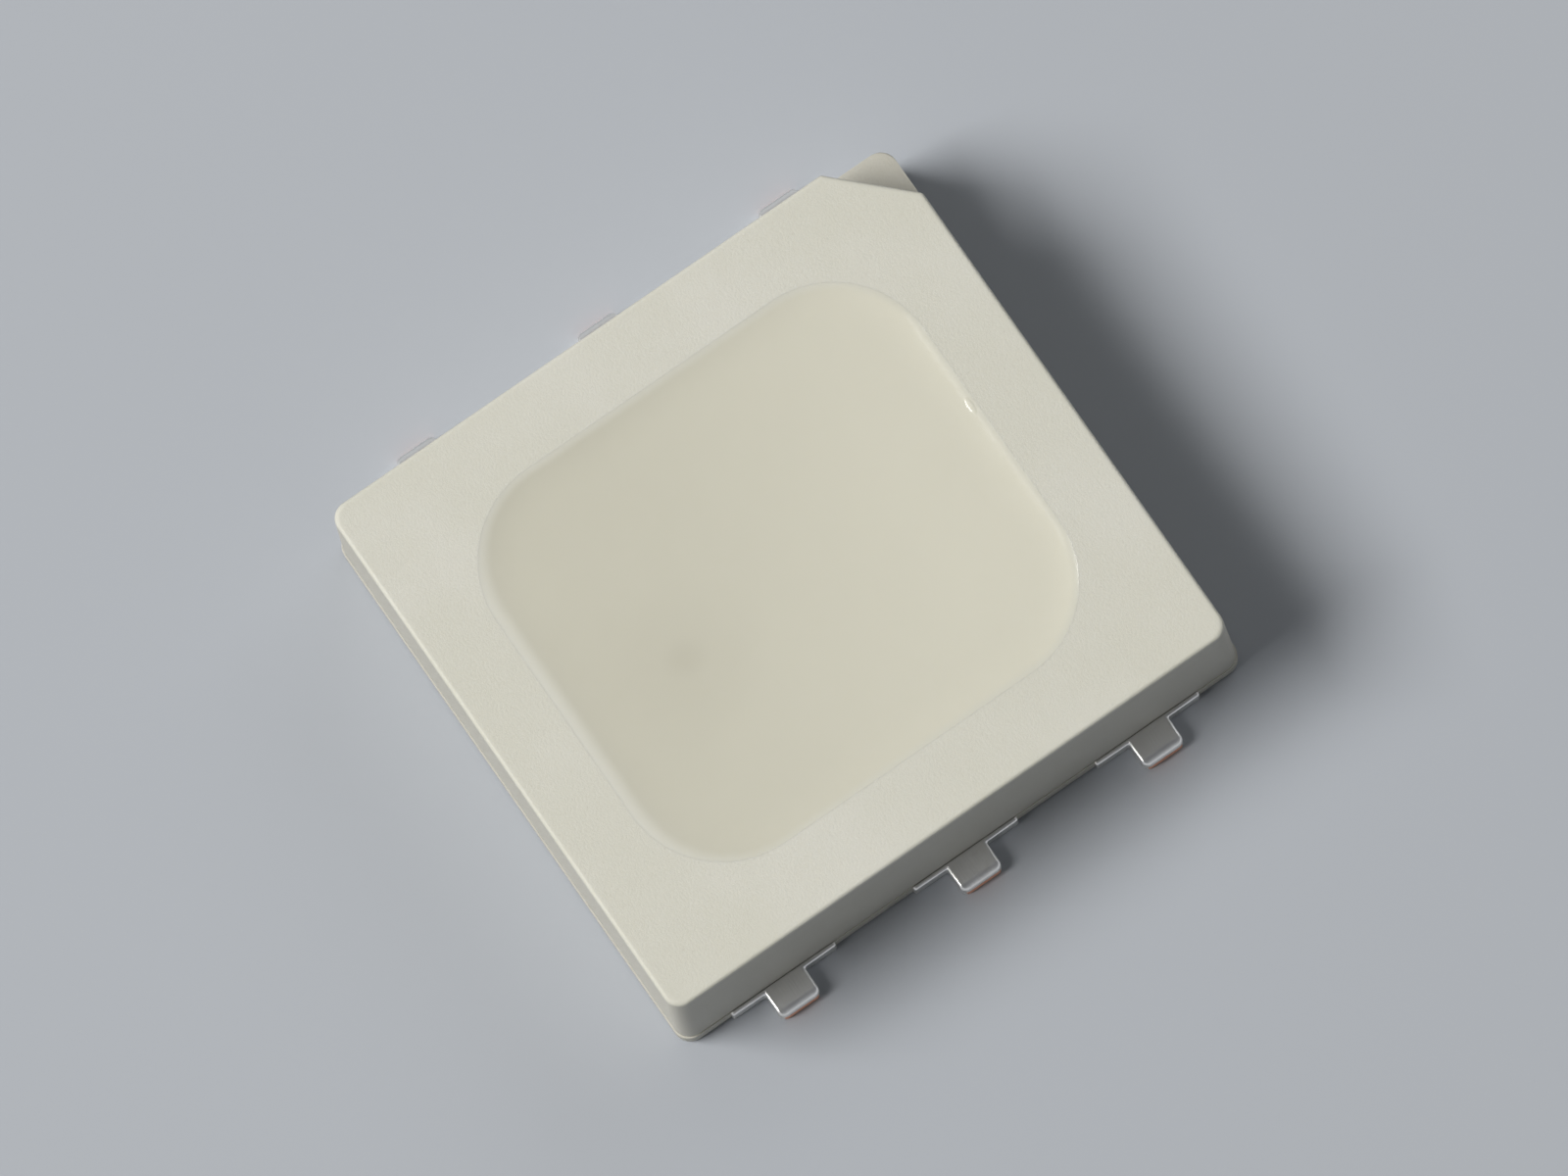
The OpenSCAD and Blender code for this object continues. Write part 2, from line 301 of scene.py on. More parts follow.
def open_tone(finish, x, y, cloud):
    """The resin's tone away from the wall, painted darker towards -X and lighter towards +X as painted shade
    and light.
    """
    # Painted light and shade: darker on the -X side, where the wall shades the key lamp's light, lighter
    # towards +X and -Y.
    painted_light_across = (x - PAINTED_LIGHT_SLANT * y).step(-0.5 * window_l, 0.6 * window_l)
    body = finish.mix(painted_light_across, PAINTED_SHADE_TONE, PAINTED_LIT_TONE)
    clouded = finish.mix(cloud.step(0.3, 0.75) * 0.3, body, CLOUD_TONE)
    from_die = ((x - SMUDGE_X) ** 2 * SMUDGE_OVAL + (y - SMUDGE_Y) ** 2) ** 0.5
    core = 1 - from_die.step(0.02, CORE_R)
    haze = 1 - from_die.step(0.1, HAZE_R)
    return finish.mix(0.25 * core + 0.15 * haze, clouded, SMUDGE_TONE)


# %% [markdown]
# Beside the wall the resin is thin and the white plastic shines through, so the window has no hard outline:
# the tone fades over one or two tenths of a millimetre. That show-through is partly real and partly painted
# light, painted much stronger on the -X side and a little stronger towards +Y, where the meniscus leans away
# from the lamps. The fade needs the distance from the wall, which is the well-known formula for a rounded
# rectangle, written here with the operators. The diffuser also passes light on sideways, so the bend of the
# meniscus hardly shows as light and shade. The shader's own scatter is kept as short as the moulding's, and
# painted light and painted shade in the tone make up for the rest: painted light where the bend on the -X
# side leans away from the lamps, and painted shade on the -Y side. These tones were set under this stage's
# lamps. A share of the way to one wall, raised to a high power, is close to nothing everywhere but beside
# that wall, which tells the sides apart.

# %% Tone beside the wall
SIDE_POWER = 8
PAINTED_LIGHT_ON_BEND_AT_MINUS_X = 0.26
PAINTED_SHADE_ON_BEND_AT_MINUS_Y = 0.16
SHINE = 0.37
PAINTED_LIGHT_TOWARDS_PLUS_Y = 0.14
SHINE_AND_PAINTED_LIGHT_AT_MINUS_X = 0.9
FADE = 0.08
FADE_MORE_AT_MINUS_X = 0.11
SHADED_TONE = rgba(190, 187, 172)
DULL_SHINE = rgba(203, 201, 187)
BRIGHT_SHINE_AND_PAINTED_LIGHT = rgba(232, 230, 218)


def from_wall(x, y):
    """Distance in from the window's wall, in millimetres."""
    over_x = abs(x) - (window_l / 2 - window_r)
    over_y = abs(y) - (window_w / 2 - window_r)
    corner = (over_x.above(0) ** 2 + over_y.above(0) ** 2) ** 0.5
    return window_r - corner - over_x.above(over_y).below(0)


def tone_beside_wall(finish, x, y, tone):
    """The open resin's tone, with painted light and shade where the meniscus bends, faded into the wall's
    show-through, which carries painted light too.
    """
    across = x / (window_l / 2)
    along = y / (window_w / 2)
    minus_x = (0 - across).above(0) ** SIDE_POWER
    plus_x = across.above(0) ** SIDE_POWER
    minus_y = (0 - along).above(0) ** SIDE_POWER
    depth = from_wall(x, y)
    bend = (1 - depth / meniscus_reach).above(0) ** (meniscus_power - 1)
    # Painted light on the bend at the -X side and painted shade on the bend at the -Y side.
    bend_with_painted_light = finish.mix(PAINTED_LIGHT_ON_BEND_AT_MINUS_X * bend * minus_x, tone, BRIGHT_SHINE_AND_PAINTED_LIGHT)
    bend_with_painted_light_and_shade = finish.mix(PAINTED_SHADE_ON_BEND_AT_MINUS_Y * bend * minus_y, bend_with_painted_light, SHADED_TONE)
    # The white plastic shows through the thin resin by the wall; painted light makes that much stronger at -X
    # and stronger towards +Y.
    shine_and_painted_light = (SHINE + PAINTED_LIGHT_TOWARDS_PLUS_Y * along) * (1 - minus_x - plus_x) + SHINE_AND_PAINTED_LIGHT_AT_MINUS_X * minus_x
    wall_tone = finish.mix(shine_and_painted_light, DULL_SHINE, BRIGHT_SHINE_AND_PAINTED_LIGHT)
    thin = 1 - depth.step(0, FADE + FADE_MORE_AT_MINUS_X * minus_x)
    return finish.mix(thin, bend_with_painted_light_and_shade, wall_tone)


# %% [markdown]
# The skin is glossy, with a faint ripple. A tiny lump in it beside the wall, longer than it is wide, catches
# the lamp as a spark.

# %% Milky resin
LUMP_X = 1.99
LUMP_Y = 0.22
LUMP_R = 0.03
LUMP_SLIMNESS = 0.35


def milky_resin():
    finish = Finish("milky_resin", IOR=1.45, Subsurface_Weight=0.2, **SHORT_SCATTER)
    place, x, y = finish.place("XY")
    cloud = finish.noise(place, scale=0.7, detail=3, seed=11)
    ripple = finish.noise(place, scale=2.2, detail=2, seed=5)
    finish.drive(
        Base_Color=tone_beside_wall(finish, x, y, open_tone(finish, x, y, cloud)),
        Roughness=0.1 + 0.06 * cloud,
    )
    lump = 1 - ((x - LUMP_X) ** 2 + ((y - LUMP_Y) * LUMP_SLIMNESS) ** 2).step(0, LUMP_R ** 2)
    finish.bump(ripple + 0.5 * lump, depth_mm=0.004)
    return finish.material


# %% [markdown]
# ## Silver-plated terminals
#
# The leadframe is rolled copper, plated with silver before moulding, and the stubs are sheared off last. So
# the flats are satin silver with faint rolling lines along the strip, and only the sheared ends show
# copper, smeared over with silver near the top. How far out along Y and how high a place lies tells
# whether it is copper.

# %% Silver plating
SILVER = (0.86, 0.85, 0.82, 1.0)
TARNISH = (0.62, 0.57, 0.49, 1.0)
COPPER = (0.78, 0.42, 0.28, 1.0)
COPPER_FROM_TIP = 0.016
ALL_COPPER_FROM_TIP = 0.004
SMEAR_FROM = 0.13
SMEAR_WHOLE = 0.17


def silver_plating():
    finish = Finish("silver_plating", Metallic=1.0)
    place, y, z = finish.place("YZ")
    rolled = finish.noise(finish.stretch(place, (60.0, 3.0, 60.0)), scale=1, detail=3, roughness=0.6)
    stain = finish.noise(place, scale=3.5, detail=4, roughness=0.6, seed=2)
    torn = finish.noise(finish.stretch(place, (22.0, 22.0, 9.0)), scale=1, detail=3, seed=9)
    cut_end = abs(y).step(stub_tip - COPPER_FROM_TIP, stub_tip - ALL_COPPER_FROM_TIP)
    bare = cut_end * (1 - (z + 0.05 * torn).step(SMEAR_FROM, SMEAR_WHOLE))
    plated = finish.mix(stain.step(0.5, 0.78) * 0.55, SILVER, TARNISH)
    finish.drive(
        Base_Color=finish.mix(bare, plated, COPPER),
        Roughness=0.2 + 0.16 * rolled + 0.14 * stain + 0.2 * bare,
    )
    finish.bump(rolled * 0.5 + bare * torn * 2.0, depth_mm=0.003)
    return finish.material


# %% [markdown]
# ## What lies in the resin
#
# The dies, their glue and the bond wires are sealed in, and the picture hardly shows them. They still get
# finishes of their own, because the model can be taken apart. A die's contacts are gold: they are
# simply the part of the die that stands above the crystal, so the height tells them apart.

# %% Dies
GOLD = (0.95, 0.68, 0.3, 1.0)
CONTACT_FROM = 0.001
CONTACT_WHOLE = 0.002


def crystal(name, colour, top_mm, **constants):
    finish = Finish(name, **constants)
    place, z = finish.place("Z")
    sawn = finish.noise(finish.stretch(place, (6.0, 6.0, 90.0)), scale=1, detail=3)
    darker = tuple(0.7 * c for c in colour[:3]) + (1.0,)
    contact = z.step(top_mm + CONTACT_FROM, top_mm + CONTACT_WHOLE)
    body = finish.mix(sawn.step(0.35, 0.7), darker, colour)
    finish.drive(
        Base_Color=finish.mix(contact, body, GOLD),
        Metallic=contact,
        Roughness=0.12 + 0.25 * sawn,
    )
    finish.bump(sawn, depth_mm=0.002)
    return finish.material


# %% Glue and wire
def glue(name, colour, fleck, **constants):
    finish = Finish(name, **constants)
    (place,) = finish.place()
    flake = finish.noise(place, scale=60, detail=2)
    finish.drive(
        Base_Color=finish.mix(flake.step(0.45, 0.65), colour, fleck),
        Roughness=0.3 + 0.3 * flake,
    )
    finish.bump(flake, depth_mm=0.002)
    return finish.material


WIRE_DEEP = (0.93, 0.62, 0.25, 1.0)
WIRE_PALE = (1.0, 0.78, 0.4, 1.0)


def gold_wire():
    finish = Finish("gold_wire", Metallic=1.0)
    (place,) = finish.place()
    drawn = finish.noise(place, scale=70, detail=2)
    finish.drive(
        Base_Color=finish.mix(drawn, WIRE_DEEP, WIRE_PALE),
        Roughness=0.16 + 0.14 * drawn,
    )
    finish.bump(drawn, depth_mm=0.0005)
    return finish.material


# %% [markdown]
# ## Meshes from rings
#
# A moulded part is a stack of outlines. Each ring here is the same rounded rectangle with other numbers:
# its size, its height, how far it is drawn in. As long as all rings have as many points, a mesh is just the
# quads between neighbours. The cut corner keeps that rule too: its points slide from the round corner onto
# the chamfer. Blender could also cut the notch with a Boolean, but then the edges are left ragged for the
# bevel that follows.

# %% Outlines
CORNER_STEPS = 24
CHAMFER_EDGE_R = 0.04
EDGE_STEPS = 4
BESIDE_CORNER = 0.3


def arc(centre_x, centre_y, radius, start, end, steps):
    """Points on an arc, from start to end in degrees, both ends included."""
    angles = [math.radians(start + (end - start) * k / steps) for k in range(steps + 1)]
    return [(centre_x + radius * math.cos(a), centre_y + radius * math.sin(a)) for a in angles]


def between(a, b, share):
    return tuple(p * (1 - share) + q * share for p, q in zip(a, b))


def run(a, b, steps):
    """Points from a to b on a line, the two ends left out."""
    return [between(a, b, k / steps) for k in range(1, steps)]


def whole_corner(half_l, half_w, radius, back):
    """The round corner at +X +Y, with the stretches of wall that the cut takes away."""
    along_y = [(half_l, half_w - back)] + run((half_l, half_w - back), (half_l, half_w - radius), EDGE_STEPS)
    along_x = run((half_l - radius, half_w), (half_l - back, half_w), EDGE_STEPS) + [(half_l - back, half_w)]
    turn = arc(half_l - radius, half_w - radius, radius, 0, 90, CORNER_STEPS - 2 * EDGE_STEPS)
    return along_y + turn + along_x


def cut_corner(half_l, half_w, back):
    """The same corner cut off by a chamfer, with its two upright edges rounded."""
    edge = CHAMFER_EDGE_R
    near_x = arc(half_l - edge, half_w - back, edge, 0, 45, EDGE_STEPS)
    near_y = arc(half_l - back, half_w - edge, edge, 45, 90, EDGE_STEPS)
    return near_x + run(near_x[-1], near_y[0], CORNER_STEPS - 2 * EDGE_STEPS) + near_y


def outline(length, width, radius, side, leg=0.0, share=0.0):
    """Anticlockwise points of a rounded rectangle round the origin, with a point on each side of the corner
    at +X +Y, at the distance side from it. With a leg, that corner goes from whole to cut as share goes from
    0 to 1."""
    half_l, half_w = length / 2, width / 2
    if leg:
        back = leg + CHAMFER_EDGE_R * math.tan(math.radians(22.5))
        pairs = zip(whole_corner(half_l, half_w, radius, back), cut_corner(half_l, half_w, back))
        corner = [between(whole, cut, share) for whole, cut in pairs]
    else:
        corner = arc(half_l - radius, half_w - radius, radius, 0, 90, CORNER_STEPS)
    points = [(half_l, half_w - side)] + corner + [(half_l - side, half_w)]
    points += arc(radius - half_l, half_w - radius, radius, 90, 180, CORNER_STEPS)
    points += arc(radius - half_l, radius - half_w, radius, 180, 270, CORNER_STEPS)
    points += arc(half_l - radius, radius - half_w, radius, 270, 360, CORNER_STEPS)
    return points


# %% From rings to an object
SAME_POINT = 0.0002
NO_LENGTH = 0.0001
CREASE_ANGLE = 35


def add_object(name, data):
    """Puts an object with this data into the scene."""
    added = bpy.data.objects.new(name, data)
    bpy.context.scene.collection.objects.link(added)
    return added


def new_object(name, mesh_data, material):
    """Turns a bmesh into an object that rides on the frame, with the creases that are sharp left sharp."""
    bmesh.ops.remove_doubles(mesh_data, verts=mesh_data.verts, dist=SAME_POINT * MM)
    bmesh.ops.dissolve_degenerate(mesh_data, edges=mesh_data.edges, dist=NO_LENGTH * MM)
    bmesh.ops.recalc_face_normals(mesh_data, faces=mesh_data.faces)
    mesh = bpy.data.meshes.new(name)
    mesh_data.to_mesh(mesh)
    mesh_data.free()
    mesh.shade_smooth()
    mesh.set_sharp_from_angle(angle=math.radians(CREASE_ANGLE))
    mesh.materials.append(material)
    piece = add_object(name, mesh)
    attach(piece, "root")
    return piece


def ring_mesh(rings):
    """A closed mesh through rings of (x, y, z) points in millimetres, capped at both ends."""
    mesh_data = bmesh.new()
    loops = [[mesh_data.verts.new(Vector(p) * MM) for p in ring] for ring in rings]
    for lower, upper in zip(loops, loops[1:]):
        for k, corner in enumerate(lower):
            after = (k + 1) % len(lower)
            mesh_data.faces.new((corner, lower[after], upper[after], upper[k]))
    mesh_data.faces.new(reversed(loops[0]))
    mesh_data.faces.new(loops[-1])
    return mesh_data


def lifted(points, z):
    return [(x, y, z) for x, y in points]


# %% Modifiers, baked
def bake_modifiers(piece):
    """Writes the result of the piece's modifiers into its mesh."""
    bpy.context.view_layer.update()
    evaluated = piece.evaluated_get(bpy.context.evaluated_depsgraph_get())
    baked = bpy.data.meshes.new_from_object(evaluated)
    piece.modifiers.clear()
    piece.data = baked
    print(f"{piece.name}: {len(baked.polygons)} faces")


def even_shading(piece):
    """Lets the large faces rule the normals, so that they look flat beside their rounded edges."""
    piece.modifiers.new("even_shading", "WEIGHTED_NORMAL").keep_sharp = True
    bake_modifiers(piece)


def soften_edges(piece, width_mm):
    """Rounds every sharp edge of a piece."""
    bevel = piece.modifiers.new("rounded_edges", "BEVEL")
    bevel.width = width_mm * MM
    bevel.segments = 3
    bevel.limit_method = "ANGLE"
    bevel.angle_limit = math.radians(30)
    bevel.use_clamp_overlap = False
    bake_modifiers(piece)


# %% [markdown]
# ## The housing
#
# The rings start in the shallow round recess of the gate, where the plastic came in, and spread over the
# underside. Then they climb the straight band at the leadframe's level, step in, follow the drafted wall to
# the ledge of the cut corner, round the top edge, cross the top face to the window and go down the leaning
# reflector. At the ledge the corner's points slide in level from the round corner to the cut, which leaves
# the little shelf. Every outer edge is rounded by a few rings of its own, because a Bevel modifier would
# tear the short edges of the cut corner. The window's edge stays sharp, as the resin runs up to it. A ring
# stands close to each edge of the underside and of the top face and keeps them flat in the light. The
# gate's rings are circles of as many points as the rest.

# %% Housing profile
GATE_EDGE_R = 0.006
UNDERSIDE_R = 0.012
BAND_R = 0.004
LEDGE_R = 0.02
FLAT_MARGIN = 0.015
QUARTER = [math.radians(15 * k) for k in range(7)]


def wall_in(z):
    """How far the drafted walls have drawn in from the base at a height."""
    return band_step + (z - lead_t) * math.tan(body_draft)


def reflector_in(z):
    """How far the reflector walls have drawn in from the window at a height."""
    return (body_h - z) * math.tan(reflector_lean)


def window_ring(z, inset):
    length, width = window_l - 2 * inset, window_w - 2 * inset
    return lifted(outline(length, width, window_r - inset, window_r + BESIDE_CORNER), z)


def gate_ring(z, radius):
    """A circle with one point for each of a wall ring's, the same way round from the corner at +X +Y."""
    count = 4 * (CORNER_STEPS + 1) + 2
    corner_at = math.atan2(body_w, body_l)
    angles = [corner_at + math.tau * (k - CORNER_STEPS / 2 - 1) / count for k in range(count)]
    return lifted([(radius * math.cos(a), radius * math.sin(a)) for a in angles], z)


def wall_ring(z, inset, share=1.0):
    """A ring of the outside. The chamfer stays upright, so its leg grows as the drafted walls move out, and
    it is drawn in as far as they are where the top edge is rounded."""
    rounding = max(0.0, inset - wall_in(z)) if z > lead_t else 0.0
    leg = notch_leg + 2 * (wall_in(body_h) - inset + rounding) - rounding * (2 - math.sqrt(2))
    length, width = body_l - 2 * inset, body_w - 2 * inset
    return lifted(outline(length, width, corner_r, notch_leg + BESIDE_CORNER, leg, share), z)


# %% Housing
def housing_rings():
    ledge = body_h - notch_depth
    shelf = notch_leg / math.sqrt(2) - corner_r * (math.sqrt(2) - 1)
    rings = [gate_ring(standoff + gate_depth, gate_d / 2)]
    for a in QUARTER:
        z = standoff + GATE_EDGE_R * (1 - math.sin(a))
        rings.append(gate_ring(z, gate_d / 2 + GATE_EDGE_R * (1 - math.cos(a))))
    rings.append(gate_ring(standoff, gate_d / 2 + GATE_EDGE_R + FLAT_MARGIN))
    rings.append(wall_ring(standoff, UNDERSIDE_R + FLAT_MARGIN, 0))
    for a in QUARTER:
        z = standoff + UNDERSIDE_R * (1 - math.cos(a))
        rings.append(wall_ring(z, UNDERSIDE_R * (1 - math.sin(a)), 0))
    rings += [wall_ring(lead_t - BAND_R, 0, 0), wall_ring(lead_t, BAND_R, 0), wall_ring(lead_t, band_step, 0)]
    for a in QUARTER:
        z = ledge - LEDGE_R * (1 - math.sin(a))
        rings.append(wall_ring(z, wall_in(z), LEDGE_R * (1 - math.cos(a)) / shelf))
    for a in QUARTER:
        z = ledge + LEDGE_R * (1 - math.cos(a))
        rings.append(wall_ring(z, wall_in(z), 1 - LEDGE_R * (1 - math.sin(a)) / shelf))
    for a in QUARTER:
        z = body_h - top_edge_r * (1 - math.sin(a))
        rings.append(wall_ring(z, wall_in(z) + top_edge_r * (1 - math.cos(a))))
    rings.append(wall_ring(body_h, wall_in(body_h) + top_edge_r + FLAT_MARGIN))
    rings += [window_ring(body_h, -FLAT_MARGIN), window_ring(body_h, 0)]
    rings.append(window_ring(lead_t, reflector_in(lead_t)))
    return rings


housing = new_object("moulded_housing", ring_mesh(housing_rings()), white_moulding())
even_shading(housing)
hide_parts("housing")

# %% [markdown]
# ## The resin
#
# Resin wets the wall and creeps up it, here as far as the window's edge, so the surface is steep beside the
# wall and flat in the middle. That curve is what draws the bright line along one side of the window. The
# rings stand close together where the surface bends most. Past the meniscus they shrink to the middle, with
# a sag of about ten micrometres from the resin's shrinkage.

# %% Resin
DISH_RINGS = 28
MIDDLE_RINGS = 10
RING_CROWDING = 1.6
SHRINK_SAG = 0.012
CREEP = 0.01


def resin_rings():
    wetted = body_h - fill_drop + CREEP
    edge = reflector_in(wetted)
    rings = [window_ring(lead_t, reflector_in(lead_t))]
    for k in range(DISH_RINGS + 1):
        share = (k / DISH_RINGS) ** RING_CROWDING
        fall = meniscus * (1 - (1 - share) ** meniscus_power)
        rings.append(window_ring(wetted - fall, edge + meniscus_reach * share))
    flat = rings[-1]
    for k in range(1, MIDDLE_RINGS):
        size = 1 - k / MIDDLE_RINGS
        sag = SHRINK_SAG * (1 - size ** 2) ** 2
        rings.append([(x * size, y * size, z - sag) for x, y, z in flat])
    return rings


resin = new_object("cast_resin", ring_mesh(resin_rings()), milky_resin())
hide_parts("diffuser_resin")
print(f"resin: {len(resin.data.polygons)} faces")

# %% [markdown]
# ## The terminals
#
# A terminal is stamped from flat strip, so it is an outline with a thickness. Under its inner pad the strip
# is etched to half, which makes it an outline in two steps: the solder face at full depth and the pad at
# half. The two outlines share the shoulder's edge, so walls are drawn along each and nothing is left
# inside. The stamped edges are then rounded, because those thin bright lines are most of what the eye sees
# of a terminal. A shear drags the metal along before it cuts, so the stub's end is sliced across and its
# top is bent down.

# %% One terminal's outline
ARC_STEPS = 12


def solder_outline(x):
    """From the left end of the shoulder, down round the stub and back up to the right end, for a terminal
    that leaves along -Y."""
    wall = -body_w / 2
    shoulder = wall + solder_len
    half, half_stub = terminal_w / 2, stub_w / 2
    tip = -stub_tip
    bite_y = wall + lock_in
    left = [(-half, shoulder)] + arc(-half, bite_y, lock_r, 90, -90, ARC_STEPS)
    left += [(-half, wall - terminal_proud), (-half_stub, wall - terminal_proud)]
    left += arc(stub_r - half_stub, tip + stub_r, stub_r, 180, 270, ARC_STEPS)
    right = [(-px, py) for px, py in reversed(left)]
    return [(x + px, py) for px, py in left + right]


def pad_outline(x, low_x, high_x, end_y):
    """The inner pad, which starts with the shoulder from left to right."""
    shoulder = -body_w / 2 + solder_len
    points = [(x - terminal_w / 2, shoulder), (x + terminal_w / 2, shoulder)]
    points += [(high_x, shoulder), (high_x, end_y), (low_x, end_y), (low_x, shoulder)]
    return points


# %% A terminal as a two-step plate
def terminal_mesh(x, low_x, high_x, end_y, flip):
    mesh_data = bmesh.new()
    known = {}

    def vertex(point, z):
        key = (round(point[0], 5), round(point[1], 5), round(z, 5))
        if key not in known:
            y = -point[1] if flip else point[1]
            known[key] = mesh_data.verts.new(Vector((point[0], y, z)) * MM)
        return known[key]

    def face(corners):
        distinct = [v for k, v in enumerate(corners) if v is not corners[k - 1]]
        if len(distinct) > 2:
            mesh_data.faces.new(distinct)

    solder = solder_outline(x)
    pad = pad_outline(x, low_x, high_x, end_y)
    left, right = pad[0], pad[1]
    for points, floor in ((solder, 0), (pad, etch_depth)):
        face([vertex(p, lead_t) for p in points])
        face([vertex(p, floor) for p in reversed(points)])
    for a, b in zip(solder, solder[1:]):
        wall = [vertex(a, 0), vertex(b, 0)]
        wall += [vertex(b, etch_depth)] if b == right else []
        wall += [vertex(b, lead_t), vertex(a, lead_t)]
        wall += [vertex(a, etch_depth)] if a == left else []
        face(wall)
    for a, b in zip(pad[1:], pad[2:] + pad[:1]):
        face([vertex(a, etch_depth), vertex(b, etch_depth), vertex(b, lead_t), vertex(a, lead_t)])
    face([vertex(left, 0), vertex(left, etch_depth), vertex(right, etch_depth), vertex(right, 0)])
    return mesh_data


# %% The sheared tip
TIP_ROLL = 0.08
TIP_FALL = 0.035
TIP_CUTS = 8


def roll_tip(piece):
    """Bends the top of the stub's end down, as the shear leaves it."""
    mesh_data = bmesh.new()
    mesh_data.from_mesh(piece.data)
    start = stub_tip - TIP_ROLL
    for k in range(TIP_CUTS):
        for y in (start + TIP_ROLL * k / TIP_CUTS, -start - TIP_ROLL * k / TIP_CUTS):
            geometry = mesh_data.verts[:] + mesh_data.edges[:] + mesh_data.faces[:]
            bmesh.ops.bisect_plane(mesh_data, geom=geometry, plane_co=(0, y * MM, 0), plane_no=(0, 1, 0))
    for corner in mesh_data.verts:
        share = max(0.0, (abs(corner.co.y) / MM - start) / TIP_ROLL)
        corner.co.z *= 1 - TIP_FALL / lead_t * share ** 2
    mesh_data.to_mesh(piece.data)
    mesh_data.free()


# %% Six terminals
STAMPED_EDGE_R = 0.02


def column(number):
    """Terminals 1 to 3 run towards -X along one side, and 4 to 6 come back along the other."""
    return 2 - number if number <= 3 else number - 5


plating = silver_plating()
for number in range(1, 7):
    node = f"terminal_{number}"
    low, high = [Vector(c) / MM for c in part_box(node)]
    flip = number <= 3
    end_y = -low.y if flip else high.y
    plate = terminal_mesh(column(number) * pitch, low.x, high.x, end_y, flip)
    terminal = new_object(f"stamped_{node}", plate, plating)
    soften_edges(terminal, STAMPED_EDGE_R)
    roll_tip(terminal)
    even_shading(terminal)
    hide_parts(node)

# %% [markdown]
# ## Dressing the CAD nodes that stay
#
# The sealed pieces keep their CAD meshes. Only their material changes, by a name that says which finish a
# node takes.

# %% Finishes of the sealed pieces
CONTACT_T = 0.005


def dress(material, *nodes):
    for node in nodes:
        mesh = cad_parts[node].data
        mesh.materials.clear()
        mesh.materials.append(material)


def crystal_top(node):
    """The height of a die without the contacts on its top."""
    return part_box(node)[1][2] / MM - CONTACT_T


red_crystal = crystal("red_crystal", (0.09, 0.085, 0.085, 1.0), crystal_top("die_red"), IOR=1.9)
sapphire = crystal("sapphire", (0.6, 0.72, 0.74, 1.0), crystal_top("die_green"), IOR=1.77)
silver_glue = glue("silver_glue", colour=(0.35, 0.35, 0.33, 1.0), fleck=(0.75, 0.75, 0.72, 1.0), Metallic=0.4)
clear_glue = glue("clear_glue", colour=(0.7, 0.72, 0.68, 1.0), fleck=(0.8, 0.82, 0.78, 1.0), IOR=1.41)
dress(red_crystal, "die_red")
dress(sapphire, "die_green", "die_blue")
dress(silver_glue, "die_glue_red")
dress(clear_glue, "die_glue_green", "die_glue_blue")
wires = [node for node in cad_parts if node.startswith("bond_wire")]
dress(gold_wire(), *wires)
print("dressed wires:", len(wires))

# %% [markdown]
# ## The stage
#
# The floor is a plain pale grey, darker than the part so that its outline reads. The world's even light
# fills the shadows, a large soft lamp high on the left models the form, a weaker one lifts the shadow on
# the right, and a slim strip lamp draws the line in the meniscus. What the camera and the shiny surfaces
# see of the world is another matter: a backdrop that is pale all round and dark overhead. It is why the
# terminals' flats look grey, while their rounded edges, which look sideways, are bright. The stage is large
# beside the part, so its sizes are in metres.

# %% Floor
FLOOR_HALF = 0.6


def pale_floor():
    finish = Finish("pale_floor", Roughness=0.7)
    (place,) = finish.place()
    drift = finish.noise(place, scale=0.02, detail=2)
    finish.drive(Base_Color=finish.mix(drift, rgba(172, 176, 182), rgba(176, 180, 186)))
    return finish.material


floor_mesh = bmesh.new()
corners = [(-1, -1), (1, -1), (1, 1), (-1, 1)]
floor_mesh.faces.new([floor_mesh.verts.new((x * FLOOR_HALF, y * FLOOR_HALF, 0)) for x, y in corners])
floor_data = bpy.data.meshes.new("floor")
floor_mesh.to_mesh(floor_data)
floor_mesh.free()
floor_data.materials.append(pale_floor())
floor = add_object("floor", floor_data)
print(f"floor: {2 * FLOOR_HALF:.1f} m square")

# %% World
EVEN_LIGHT = 0.1
OVERHEAD = 0.85
SIDEWAYS = 0.4
PALE_BACKDROP = rgba(196, 199, 204)
DARK_BACKDROP = rgba(88, 90, 94)

world = bpy.data.worlds.new("studio")
bpy.context.scene.world = world
sky = Graph(world)
even_light = sky.tree.nodes["Background"]
even_light.inputs["Color"].default_value = (0.95, 0.98, 1.0, 1.0)
even_light.inputs["Strength"].default_value = EVEN_LIGHT

(height,) = sky.split(sky.node("ShaderNodeTexCoord", output="Generated"), "Z")
shade = sky.mix(height.step(SIDEWAYS, OVERHEAD), PALE_BACKDROP, DARK_BACKDROP)
backdrop = sky.node("ShaderNodeBackground", None, {"Color": shade})
camera_ray, glossy_ray, clear_ray = [
    sky.node("ShaderNodeLightPath", output=f"Is {kind} Ray") for kind in ("Camera", "Glossy", "Transmission")
]
seen = (camera_ray + glossy_ray + clear_ray).below(1)
light = Value(sky, even_light.outputs["Background"])
choice = sky.node("ShaderNodeMixShader", None, {"Fac": seen, 1: light, 2: backdrop})
sky.feed(sky.tree.nodes["World Output"].inputs["Surface"], choice)
print("world nodes:", len(sky.tree.nodes))

# %% Lamps
TARGET = Vector((0, 0, body_h / 2)) * MM


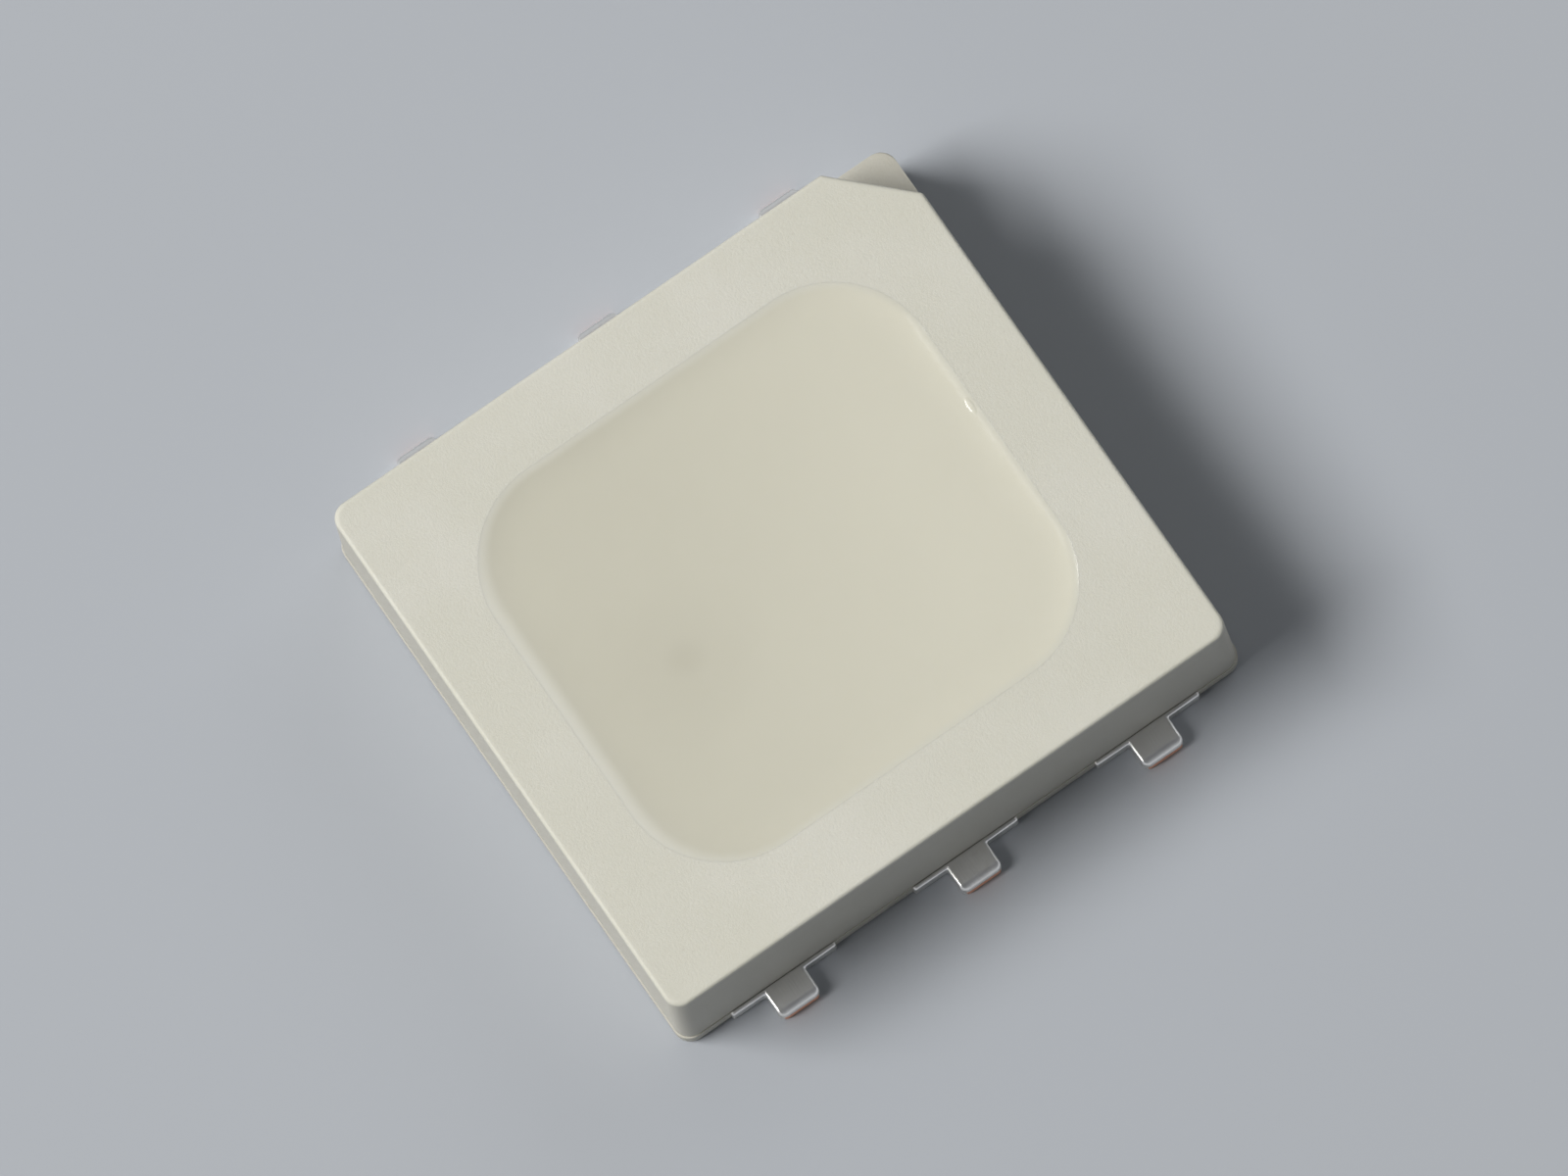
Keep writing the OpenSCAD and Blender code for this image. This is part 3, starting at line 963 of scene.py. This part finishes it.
def lamp(name, direction, distance, size, size_y, watts, colour=(1, 1, 1)):
    """A rectangular lamp that looks at the part from a direction, its long side level."""
    data = bpy.data.lights.new(name, "AREA")
    data.shape = "RECTANGLE"
    data.size = size
    data.size_y = size_y
    data.energy = watts
    data.color = colour
    made = add_object(name, data)
    away = Vector(direction).normalized()
    made.location = TARGET + away * distance
    made.rotation_euler = away.to_track_quat("Z", "Y").to_euler()
    print(f"{name}: {watts} W, {distance} m away")


lamp(
    "soft_key", direction=(-0.72, 0.32, 1.0), distance=0.30,
    size=0.16, size_y=0.14, watts=0.96, colour=(1.0, 0.995, 0.98),
)
lamp(
    "soft_fill", direction=(1.1, 0.5, 1.0), distance=0.35,
    size=0.22, size_y=0.16, watts=0.16, colour=(0.96, 0.98, 1.0),
)
lamp("strip", direction=(-0.283, 0.171, 1.0), distance=0.20, size=0.03, size_y=0.009, watts=0.0025)

# %% [markdown]
# ## The camera
#
# The photo looks almost straight down, leaning a few degrees towards the near row of terminals, and turned
# so that the rows run up to the right. A long lens keeps the edges nearly parallel, as they are in the
# photo. The camera's three axes are built from that lean and that turn, and set as one matrix.

# %% Camera
LEAN_Y = math.radians(9.7)
LEAN_X = math.radians(2.7)
TURN = math.radians(35)
DISTANCE = 0.125
VIEW_WIDTH = 12.4 * MM

away = Vector((-math.tan(LEAN_X), -math.tan(LEAN_Y), 1)).normalized()
right = Vector((math.cos(TURN), -math.sin(TURN), 0))
right = (right - right.dot(away) * away).normalized()
up = away.cross(right)

camera_data = bpy.data.cameras.new("camera")
camera_data.sensor_width = 36
camera_data.lens = camera_data.sensor_width * DISTANCE / VIEW_WIDTH
camera_data.clip_start = 0.01
camera_data.clip_end = 5
camera = add_object("camera", camera_data)
axes = Matrix((right, up, away)).transposed()
camera.matrix_world = Matrix.Translation(TARGET + away * DISTANCE) @ axes.to_4x4()
bpy.context.scene.camera = camera
bpy.context.scene.view_settings.view_transform = "Standard"
print(f"camera: {camera_data.lens:.0f} mm lens, {DISTANCE} m away")
